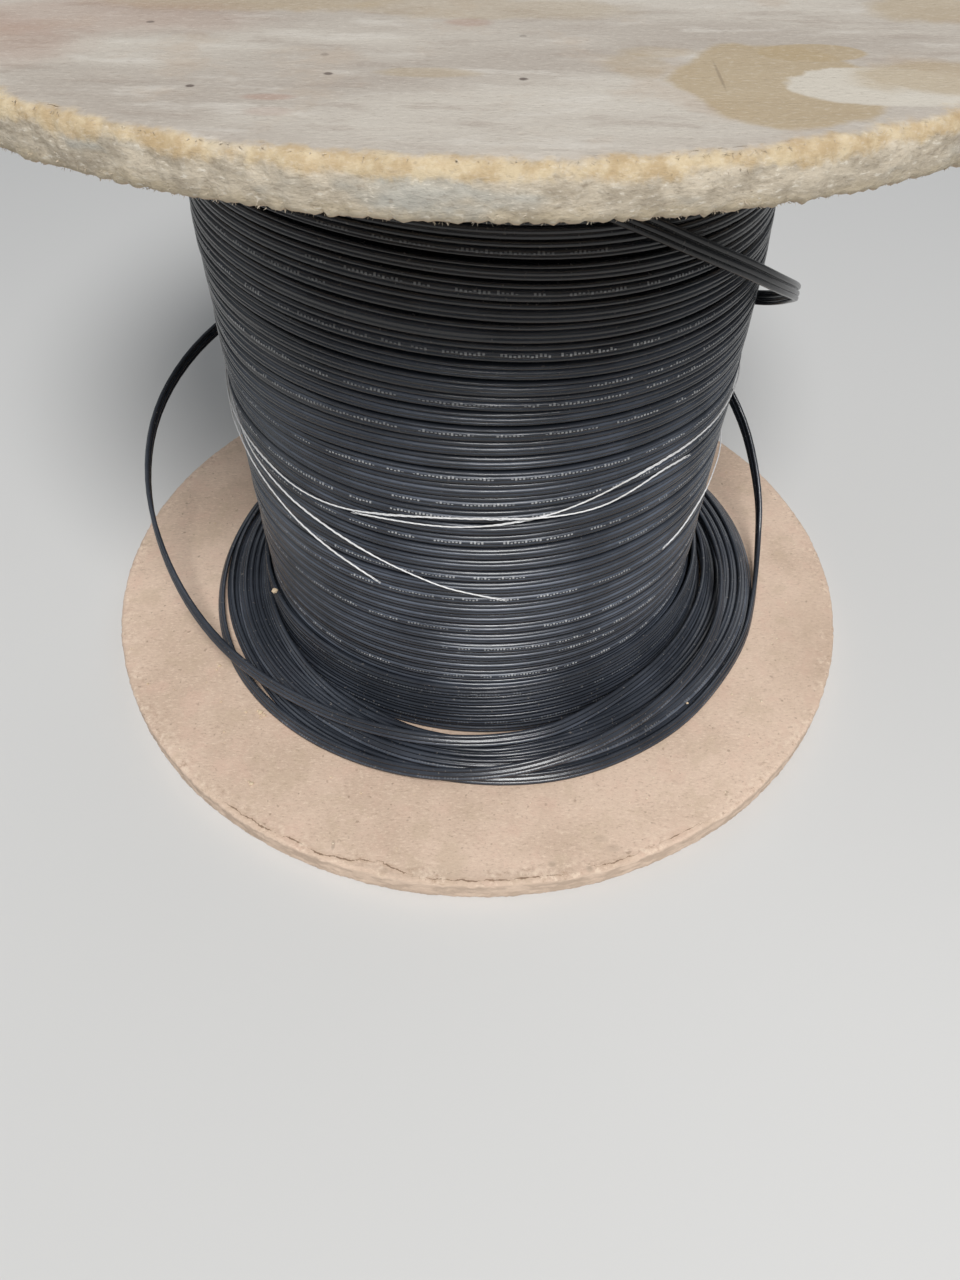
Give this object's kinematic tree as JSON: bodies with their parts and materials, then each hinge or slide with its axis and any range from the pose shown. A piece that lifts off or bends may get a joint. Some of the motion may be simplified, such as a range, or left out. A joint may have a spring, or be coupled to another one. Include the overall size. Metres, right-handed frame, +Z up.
{
  "type": "cable drum",
  "caption": "Wooden cable drum standing on its flange, part wound with black flat drop cable, slack turns round the winding's foot and a loose loop at the side.",
  "frame": {"origin": "middle of the lower flange's underside", "axes": "+Z up along the drum's axis; -Y is the side that faces the viewer in the picture"},
  "size_m": [0.32, 0.32, 0.253],
  "materials": {
    "raw_fibreboard": "raw matte",
    "weathered_fibreboard": "weathered matte",
    "cardboard_core": "matte",
    "cable_jacket": "satin",
    "zinc_steel": "zinc plated",
    "white_thread": "matte"
  },
  "bodies": {
    "root": {"bottom_flange": "raw_fibreboard", "top_flange": "weathered_fibreboard", "core_tube": "cardboard_core", "cable_winding": "cable_jacket", "loose_turns": "cable_jacket", "slack_loop": "cable_jacket", "top_loop": "cable_jacket", "tie_rod_1": "zinc_steel", "tie_rod_2": "zinc_steel", "tie_rod_3": "zinc_steel", "tie_rod_4": "zinc_steel", "washer_bottom_1": "zinc_steel", "washer_bottom_2": "zinc_steel", "washer_bottom_3": "zinc_steel", "washer_bottom_4": "zinc_steel", "washer_top_1": "zinc_steel", "washer_top_2": "zinc_steel", "washer_top_3": "zinc_steel", "washer_top_4": "zinc_steel", "nut_bottom_1": "zinc_steel", "nut_bottom_2": "zinc_steel", "nut_bottom_3": "zinc_steel", "nut_bottom_4": "zinc_steel", "nut_top_1": "zinc_steel", "nut_top_2": "zinc_steel", "nut_top_3": "zinc_steel", "nut_top_4": "zinc_steel", "white_thread_1": "white_thread", "white_thread_2": "white_thread", "white_thread_3": "white_thread", "white_thread_4": "white_thread"}
  },
  "joints": []
}
